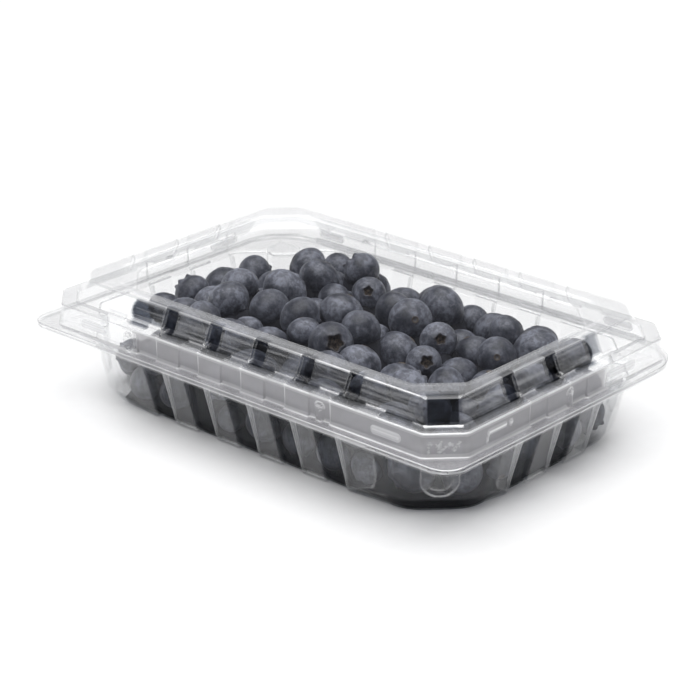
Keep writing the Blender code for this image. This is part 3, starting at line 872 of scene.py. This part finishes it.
class Nodes:
    """A node tree and the one way in which nodes are added to it."""

    def __init__(self, tree):
        self.tree = tree

    def node(self, kind, settings=None, sockets=None):
        """The outputs of a node with its settings made first, then the values or links of its
        sockets. The setting stops is a colour ramp's places and colours."""
        made = self.tree.nodes.new(kind)
        for key, value in (settings or {}).items():
            if key == "stops":
                for stop, (position, colour) in zip(made.color_ramp.elements, value):
                    stop.position, stop.color = position, colour
            else:
                setattr(made, key, value)
        for key, value in (sockets or {}).items():
            value = value.socket if isinstance(value, Wire) else value
            if isinstance(value, bpy.types.NodeSocket):
                self.tree.links.new(value, made.inputs[key])
            else:
                made.inputs[key].default_value = value
        return made.outputs


class Finish(Nodes):
    """A material and short ways to add nodes to it."""

    def __init__(self, name):
        self.material = bpy.data.materials.new(name)
        self.material.use_nodes = True
        super().__init__(self.material.node_tree)
        self.tree.nodes.clear()
        self.place = self.node("ShaderNodeTexCoord")["Object"]

    def number(self, kind, settings=None, sockets=None, output=0):
        return Wire(self, self.node(kind, settings, sockets)[output])

    def painted(self, name):
        """A number stored on the piece's own faces or points."""
        return self.number("ShaderNodeAttribute", {"attribute_name": name}, output="Fac")

    def cloud(self, size, detail=3.0, rough=0.55, stretch=(1.0, 1.0, 1.0)):
        """Soft random patches about size metres across."""
        place = self.node("ShaderNodeVectorMath", {"operation": "MULTIPLY"},
                          {0: self.place, 1: tuple(s / size for s in stretch)})[0]
        return self.number("ShaderNodeTexNoise", None,
                           {"Vector": place, "Scale": 1.0, "Detail": detail, "Roughness": rough})

    def blended(self, share, first, second):
        """A colour between two colours."""
        return self.node("ShaderNodeMix", {"data_type": "RGBA", "clamp_factor": True},
                         {0: share, 6: first, 7: second})[2]

    def layered(self, share, under, over):
        return self.node("ShaderNodeMixShader", None, {0: share, 1: under, 2: over})[0]

    def bumped(self, height, distance, strength=1.0):
        return self.node("ShaderNodeBump", None, {"Height": height, "Distance": distance,
                                                  "Strength": strength})["Normal"]

    def ends(self, surface):
        self.node("ShaderNodeOutputMaterial", None, {"Surface": surface})
        return self.material

    def ends_solid(self, **sockets):
        """Ends in one solid surface; an underscore in a socket's name stands for a space."""
        sockets = {key.replace("_", " "): value for key, value in sockets.items()}
        return self.ends(self.node("ShaderNodeBsdfPrincipled", None, sockets)[0])


FILM_TINT = (0.991, 0.992, 0.993, 1.0)
# painted shade: the tint of the film where the fruit shows dark through its bends
FILM_SHADE = (0.20, 0.22, 0.26, 1.0)
FILM_WHITE = (0.90, 0.905, 0.92, 1.0)
FAR_BEND_GREY = (0.55, 0.555, 0.57, 1.0)
# colour of the painted grey over the fruit
FRUIT_GREY_COLOUR = (0.43, 0.425, 0.445, 1.0)
GLOSS_WHITE = (1.0, 1.0, 1.0, 1.0)
FILM_MIRROR, EDGE_MIRROR, BEND_MIRROR = 0.025, 0.6, 0.25   # head on, at a slant and at bends
BEND_LINE_SHARE, RIM_SHARE, GLINT_SHARE = 0.5, 0.2, 0.3        # how white the painted highlight lines at bends and round marks, and the painted glints, are
RIM_LINE = 0.35                # half width of the painted highlight line round a pressed mark, mm


def clear_film(name, mark_milk):
    """Clear pressed sheet: see-through and glossy, a little hazy, with painted light on lit walls,
    bends and the edges of marks, painted glints and reflection streaks, painted grey over the
    fruit and painted shade where the fruit shows dark through it.
    """
    look = Finish(name)
    normal = look.bumped(look.cloud(0.022, 2.0), 0.0006, 0.15)
    facing = look.number("ShaderNodeLayerWeight", None, {"Blend": 0.5, "Normal": normal}, output=1)
    crease, shade, rim = look.painted("crease"), look.painted("shade"), look.painted("rim")
    # painted shade also dims the gloss
    mirror = ((FILM_MIRROR + EDGE_MIRROR * facing ** 5.0 + BEND_MIRROR * crease)
              * (1.0 - 0.8 * shade)).capped()
    clouds = look.cloud(0.004, 3.0, 0.6)
    drawn = look.cloud(0.0009, 2.0, 0.5, (0.02, 0.02, 1.0)).between(0.47, 0.62)   # painted reflection streaks along the ridge
    # painted highlight line round pressed marks, the corner scoops and the panels
    rim_line = (rim.between(RIM_SHIFT - RIM_LINE, RIM_SHIFT)
                * (1.0 - rim.between(RIM_SHIFT, RIM_SHIFT + RIM_LINE)))
    in_mark = rim.between(RIM_SHIFT, RIM_SHIFT + 0.4)
    # painted glints in patches
    dapple = look.painted("dapple") * look.cloud(0.0022, 3.0, 0.6).between(0.5, 0.66)
    haze_and_highlights = (look.painted("veil") * (0.9 + 0.2 * clouds) + crease * BEND_LINE_SHARE
            + rim_line * RIM_SHARE + in_mark * mark_milk
            + look.painted("streak") * (0.02 + 0.12 * drawn) + dapple * GLINT_SHARE).capped()
    # painted grey over the fruit seen through the film
    mist = look.painted("mist") * (0.92 + 0.16 * clouds)

    def see_through(colour):
        return look.node("ShaderNodeBsdfTransparent", None, {"Color": colour})[0]

    def diffuse_layer(colour):
        return look.node("ShaderNodeBsdfDiffuse", None, {"Color": colour, "Normal": normal})[0]

    gloss = look.node("ShaderNodeBsdfGlossy", None,
                      {"Color": GLOSS_WHITE, "Roughness": 0.08, "Normal": normal})[0]
    # painted shade darkens what is seen through the film
    clear = look.layered(shade, see_through(FILM_TINT), see_through(FILM_SHADE))
    white = look.layered(look.painted("grey"), diffuse_layer(FILM_WHITE), diffuse_layer(FAR_BEND_GREY))
    with_fruit_grey = look.layered(mist, clear, diffuse_layer(FRUIT_GREY_COLOUR))
    return look.ends(look.layered(mirror, look.layered(haze_and_highlights, with_fruit_grey, white), gloss))


BARE_SKIN, WAX_BLOOM = (0.016, 0.018, 0.028, 1.0), (0.285, 0.30, 0.36, 1.0)
DRY_DARK, DRY_LIGHT = (0.010, 0.008, 0.008, 1.0), (0.085, 0.062, 0.045, 1.0)
SCAR_BROWN = (0.11, 0.085, 0.06, 1.0)
CORE_DARK, CORE_LIGHT = (0.006, 0.007, 0.012, 1.0), (0.02, 0.022, 0.034, 1.0)
PAPER_DARK, PAPER_LIGHT = (0.90, 0.90, 0.90, 1.0), (0.93, 0.93, 0.93, 1.0)


def berry_skin():
    """Blue-black skin under a waxy bloom that is rubbed off in patches, with a brown crown, and
    painted shade that dims the bloom of berries low in the heap.
    """
    look = Finish("berry_skin")
    crown = look.painted("crown")
    patches, specks = look.cloud(0.0075, 4.0, 0.6), look.cloud(0.0009, 3.0, 0.7)
    rubs = look.cloud(0.0021, 3.0, 0.65)
    # the bloom is dimmed by painted shade on berries low in the heap
    wax = ((patches.between(0.34, 0.62) * (0.35 + 0.65 * rubs.between(0.38, 0.6))
            * (0.55 + 0.45 * look.painted("tone")) + 0.40 * specks - 0.10)
           * (1.0 - 0.45 * look.painted("depth"))).capped()
    dry = look.blended(specks.between(0.35, 0.65), DRY_DARK, DRY_LIGHT)
    skin = look.blended(crown, look.blended(wax, BARE_SKIN, WAX_BLOOM), dry)
    return look.ends_solid(
        Base_Color=look.blended(look.painted("scar"), skin, SCAR_BROWN),
        Roughness=(0.36 + 0.30 * wax + 0.2 * crown).capped(),
        Normal=look.bumped(specks * 0.35 + rubs * 0.65, 0.00025, 0.6),
        Specular_IOR_Level=0.42, Sheen_Weight=0.04, Sheen_Roughness=0.5)


def core_skin():
    """Painted shade: the fruit deep in the heap, in shade, coloured darker than the berries."""
    look = Finish("berry_core")
    patches = look.cloud(0.009, 3.0)
    return look.ends_solid(
        Base_Color=look.blended(patches.between(0.35, 0.7), CORE_DARK, CORE_LIGHT),
        Roughness=0.75, Normal=look.bumped(patches, 0.001, 0.5))


def floor_paper():
    look = Finish("floor_paper")
    return look.ends_solid(
        Base_Color=look.blended(look.cloud(0.004, 3.0), PAPER_DARK, PAPER_LIGHT),
        Roughness=0.85, Specular_IOR_Level=0.1)


# --- berries --------------------------------------------------------------------------------
AROUND = 30                    # points round a berry
SQUASH = 0.87                  # a berry's height to its width


def shoulder(radius):
    """Height of the berry's skin at a radius."""
    return SQUASH * math.sqrt(1 - radius * radius)


def berry_pattern(name, mouth, lobe, flare):
    """One berry of radius 1 with its crown up: a five-lobed rim round a sunken floor, and the
    round scar of its stalk below."""
    bm = bmesh.new()
    crowns, scars = (bm.verts.layers.float.new(key) for key in ("crown", "scar"))
    turns = np.linspace(0.0, math.tau, AROUND, endpoint=False)
    lobes = np.cos(5 * turns)

    def point(x, y, z, crown, scar):
        v = bm.verts.new((x, y, z))
        v[crowns], v[scars] = crown, scar
        return v

    def ring(radius, z, crown=0.0, scar=0.0):
        return [point(r * math.cos(t), r * math.sin(t), height, crown, scar)
                for r, height, t in zip(*np.broadcast_arrays(radius, z, turns))]

    star = mouth * (1.0 + lobe * lobes)
    edge = mouth * 1.05 + 0.17
    top, foot = shoulder(mouth), -shoulder(0.14)
    first = point(0.0, 0.0, top - 0.07, 1.0, 0.0)
    rows = [ring(0.05, top - 0.075, crown=1.0),
            ring(0.09, top - 0.125, crown=1.0),
            ring(star * 0.72, top - 0.13, crown=1.0),
            ring(star * 0.93, top - 0.05 + 0.02 * lobes, crown=0.9),
            ring(star, top + 0.035 + flare * lobes, crown=0.35),
            ring(star * 1.12 + 0.015, top + 0.028 + 0.8 * flare * lobes, crown=0.25),
            ring(star * 1.14 + 0.05, top - 0.012),
            ring(edge, shoulder(edge))]
    rows += [ring(math.sin(turn), SQUASH * math.cos(turn))
             for turn in np.linspace(math.asin(edge), math.pi - 0.2, 13)[1:]]
    rows += [ring(0.17, foot - 0.012, scar=0.2),
             ring(0.135, foot - 0.02, scar=1.0),
             ring(0.09, foot + 0.035, scar=0.6)]
    last = point(0.0, 0.0, foot + 0.045, 0.0, 0.2)
    for i in range(AROUND):
        j = (i + 1) % AROUND
        bm.faces.new((first, rows[0][i], rows[0][j]))
        bm.faces.new((last, rows[-1][j], rows[-1][i]))
        for above, below in zip(rows, rows[1:]):
            bm.faces.new((above[i], below[i], below[j], above[j]))
    return shown(name, bm, merged=False)


class Shaper(Nodes):
    """A Geometry Nodes tree with named inputs and short ways to add nodes to it."""

    def __init__(self, name, **inputs):
        super().__init__(bpy.data.node_groups.new(name, "GeometryNodeTree"))
        sockets = self.tree.interface
        sockets.new_socket("Geometry", in_out="OUTPUT", socket_type="NodeSocketGeometry")
        self.inputs = {
            label: sockets.new_socket(label, in_out="INPUT", socket_type="NodeSocket" + kind)
            for label, kind in {"Geometry": "Geometry", **inputs}.items()}
        self.given = self.node("NodeGroupInput")

    def stored(self, name, kind):
        """A value kept on the points."""
        return self.node("GeometryNodeInputNamedAttribute", {"data_type": kind}, {"Name": name})[0]

    def ends(self, geometry):
        self.node("NodeGroupOutput", None, {0: geometry})


def berry_heap_tree():
    """A berry on every point, turned so that its crown looks along aim, none quite round."""
    shape = Shaper("berry heap", Berry="Object", Skin="Material", Flattest="Float",
                   Roundest="Float", Seed="Int")
    node, given = shape.node, shape.given
    berry = node("GeometryNodeObjectInfo", {"transform_space": "ORIGINAL"},
                 {"Object": given["Berry"]})["Geometry"]
    aimed = node("FunctionNodeAlignRotationToVector", {"axis": "Z"},
                 {"Vector": shape.stored("aim", "FLOAT_VECTOR")})[0]
    spin = node("FunctionNodeRandomValue", {"data_type": "FLOAT"},
                {2: 0.0, 3: math.tau, "Seed": given["Seed"]})[1]
    spun = node("FunctionNodeAxisAngleToRotation", None,
                {"Axis": (0.0, 0.0, 1.0), "Angle": spin})[0]
    turned = node("FunctionNodeRotateRotation", {"rotation_space": "LOCAL"}, {0: aimed, 1: spun})[0]
    low, high = (node("ShaderNodeCombineXYZ", None, dict.fromkeys(range(3), given[limit]))[0]
                 for limit in ("Flattest", "Roundest"))
    uneven = node("FunctionNodeRandomValue", {"data_type": "FLOAT_VECTOR"},
                  {0: low, 1: high, "Seed": given["Seed"]})[0]
    sized = node("ShaderNodeVectorMath", {"operation": "SCALE"},
                 {0: uneven, "Scale": shape.stored("size", "FLOAT")})[0]
    heap = node("GeometryNodeInstanceOnPoints", None, {"Points": given["Geometry"],
                "Instance": berry, "Rotation": turned, "Scale": sized})[0]
    joined = node("GeometryNodeRealizeInstances", None, {"Geometry": heap})[0]
    shape.ends(node("GeometryNodeSetMaterial", None,
                    {"Geometry": joined, "Material": given["Skin"]})[0])
    return shape


def berry_points(name, places, radii, aims, tones):
    """The places of one kind of berry, as bare points with what the tree needs to know."""
    mesh = bpy.data.meshes.new(name)
    mesh.from_pydata([Vector(p) * MM for p in places], [], [])
    # painted shade: berries low in the heap show less bloom and look darker
    low_berry_shades = 1.0 - ease((places[:, 2] - 12.0) / 14.0)
    for key, kind, field, values in (("size", "FLOAT", "value", radii * MM),
                                     ("tone", "FLOAT", "value", tones),
                                     ("depth", "FLOAT", "value", low_berry_shades),
                                     ("aim", "FLOAT_VECTOR", "vector", aims)):
        store = mesh.attributes.new(key, kind, "POINT")
        store.data.foreach_set(field, np.asarray(values, np.float32).ravel())
    return linked(name, mesh)


CORE_LEVELS = (0.9, 4.6, 6.5, 10.0, 15.0, 19.0)
CORE_DEPTH, CORE_SIDE, CORE_BEND = 6.0, 5.5, 6.0   # how far the core stays inside the heap
CORE_END = 0.13                # share by which it draws in where the punnet isn't filled


def make_core(places, radii, look):
    """A dark mass under the outermost berries, painted shade so that no light shows through the
    heap.
    """
    outline = Outline(np.linspace(-50.0, 50.0, 26), np.linspace(-25.0, 25.0, 14))
    rows = []
    for z in CORE_LEVELS:
        half_x, _, cut = half_sizes(z)
        inset = LENGTH / 2 - half_x + CORE_SIDE * ease((z - 2.0) / 4.0)
        xy, _ = outline.loop(inset, cut, CORE_BEND)
        xy = xy * (1.0 - CORE_END * (1.0 - filled(xy)))[:, None]
        rows.append(np.column_stack([xy, np.full(len(xy), z)]))
    rim = rows[-1]
    for share in np.linspace(0.97, 0.04, 18):
        least = CORE_LEVELS[-1] - CORE_DEPTH * (1 - share)
        row = []
        for x, y, _ in rim * (share, share, 1.0):
            level = np.hypot(places[:, 0] - x, places[:, 1] - y)
            over = level < radii * 0.98
            tops = places[over, 2] + np.sqrt(radii[over] ** 2 - level[over] ** 2)
            row.append((x, y, max(tops.max(initial=0.0) - CORE_DEPTH, least)))
        rows.append(row)
    bm = bmesh.new()
    rings = points_of(bm, rows)
    for below, above in zip(rings, rings[1:]):
        for i in range(len(below)):
            j = (i + 1) % len(below)
            bm.faces.new((below[i], below[j], above[j], above[i]))
    bm.faces.new(rings[0][::-1])
    bm.faces.new(rings[-1])
    return shown("berry_core", bm, look)


LEFT_DIP, RIGHT_DIP = (-50.0, -22.0, 20.0), (60.0, 27.0, 17.0)   # no berries past these corners
TOP_GROWTH, GROWTH_START, GROWTH_RISE = 0.07, 20.0, 6.0   # the biggest berries lie on top
FLATTEST, ROUNDEST = 0.91, 1.03
TOWARD_NEAR_CORNER = np.array([0.60, -0.66, 0.45])
CROWNS_IN_SIGHT = ((5.0, -14.0), (23.0, 12.0), (36.0, -6.0), (-19.0, 27.0))   # mm, on top
SCARS_IN_SIGHT = ((49.0, 14.0), (1.0, 11.0))
# width of the crown's mouth, how deep its five lobes are and how far they flare
KINDS = {"berries_open_crown": (0.34, 0.17, 0.035), "berries_flared_crown": (0.38, 0.22, 0.060),
         "berries_small_crown": (0.27, 0.13, 0.020)}


def crown_aims(rng, places):
    """Which way each crown looks: mostly sideways, but a few on top show crown or stalk scar."""
    toward = TOWARD_NEAR_CORNER
    aims = rng.normal(size=places.shape) - (0.0, 0.0, 0.9)
    aims -= 0.85 * (aims @ toward)[:, None] * toward
    aims /= np.linalg.norm(aims, axis=1, keepdims=True)
    for spots, sign in ((CROWNS_IN_SIGHT, 1.0), (SCARS_IN_SIGHT, -1.0)):
        for spot in spots:
            far = np.hypot(*(places[:, :2] - spot).T) + 3.0 * (HEIGHT - places[:, 2])
            aims[np.argmin(far)] = sign * toward + rng.normal(0.0, 0.14, 3)
    return aims


def make_berries(skin, core_look):
    places, radii = settle(BERRY_COUNT, BERRY_RADIUS, POUR)
    x, y, z = places.T
    kept = (x > LEFT_DIP[0]) | (y > LEFT_DIP[1]) | (z < LEFT_DIP[2])
    kept &= (x < RIGHT_DIP[0]) | (y < RIGHT_DIP[1]) | (z < RIGHT_DIP[2])
    places, radii = places[kept], radii[kept]
    radii = radii * (1.0 + TOP_GROWTH * ease((places[:, 2] - GROWTH_START) / GROWTH_RISE))
    rng = np.random.default_rng(11)
    aims = crown_aims(rng, places)
    tones = rng.uniform(0.0, 1.0, len(places))
    kinds = rng.integers(0, len(KINDS), len(places))
    tree = berry_heap_tree()
    pieces = [make_core(places, radii, core_look)]
    for k, (name, pattern_sizes) in enumerate(KINDS.items()):
        chosen = kinds == k
        pattern = berry_pattern(name + "_pattern", *pattern_sizes)
        piece = berry_points(name, places[chosen], radii[chosen], aims[chosen], tones[chosen])
        grower = piece.modifiers.new("heap", "NODES")
        grower.node_group = tree.tree
        for label, value in (("Berry", pattern), ("Skin", skin), ("Flattest", FLATTEST),
                             ("Roundest", ROUNDEST), ("Seed", 5 + k)):
            grower[tree.inputs[label].identifier] = value
        pieces.append(settled(piece))
        bpy.data.objects.remove(pattern)
    return pieces


# --- the studio -----------------------------------------------------------------------------
CAMERA_LENS, SENSOR_WIDTH = 123.4, 36.0
CAMERA_AZIMUTH, CAMERA_ELEVATION, CAMERA_DISTANCE = 41.7, 22.5, 0.813
LOOKED_AT = Vector((-0.0018, -0.0004, 0.020))
SOFTBOX_PLACE, SOFTBOX_SIZE, SOFTBOX_POWER = Vector((-0.1, 0.02, 1.7)), (2.8, 2.2), 57.0
SKY_STOPS = (0.12, (0.9, 0.9, 0.9, 1.0)), (0.30, (0.05, 0.05, 0.055, 1.0))   # lowest to highest


def placed(name, data, place, facing):
    """A lamp or camera in the scene, looking along facing."""
    thing = linked(name, data)
    thing.location = place
    thing.rotation_euler = facing.to_track_quat("-Z", "Y").to_euler()
    return thing


def make_studio():
    bpy.ops.mesh.primitive_plane_add(size=12.0, location=(0.0, 0.0, 0.0))
    floor = bpy.context.object
    floor.name = "floor"
    floor.data.materials.append(floor_paper())

    light = bpy.data.lights.new("overhead_softbox", "AREA")
    light.shape, light.energy = "RECTANGLE", SOFTBOX_POWER
    light.size, light.size_y = SOFTBOX_SIZE
    placed("overhead_softbox", light, SOFTBOX_PLACE, Vector((0.0, 0.0, 0.02)) - SOFTBOX_PLACE)

    scene = bpy.context.scene
    world = scene.world = bpy.data.worlds.new("studio")
    world.use_nodes = True
    sky = Nodes(world.node_tree)
    spot = sky.node("ShaderNodeTexCoord")["Generated"]
    height = sky.node("ShaderNodeSeparateXYZ", None, {0: spot})["Z"]
    glow = sky.node("ShaderNodeValToRGB", {"stops": SKY_STOPS}, {"Fac": height})["Color"]
    background = sky.tree.nodes["Background"].inputs
    sky.tree.links.new(glow, background["Color"])
    background["Strength"].default_value = 1.0

    camera = bpy.data.cameras.new("camera")
    camera.lens, camera.sensor_width = CAMERA_LENS, SENSOR_WIDTH
    azimuth, elevation = math.radians(CAMERA_AZIMUTH), math.radians(CAMERA_ELEVATION)
    back = Vector((math.sin(azimuth) * math.cos(elevation),
                   -math.cos(azimuth) * math.cos(elevation), math.sin(elevation)))
    scene.camera = placed("camera", camera, LOOKED_AT + back * CAMERA_DISTANCE, -back)
    scene.view_settings.view_transform = "Standard"
    scene.cycles.transparent_max_bounces = 40


def main():
    plain_film, marked_film = clear_film("clear_film", 0.05), clear_film("marked_film", 0.24)
    tray, lid, hinge = make_tray(plain_film), make_lid(marked_film), make_hinge(plain_film)
    berries = make_berries(berry_skin(), core_skin())
    for piece, body in ((tray, "base"), (hinge, "base"), (lid, "cover"),
                        *((berry, "base") for berry in berries)):
        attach(piece, body)
    for piece in berries:
        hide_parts("berries")
    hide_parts("tray")
    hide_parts("lid")
    make_studio()


main()
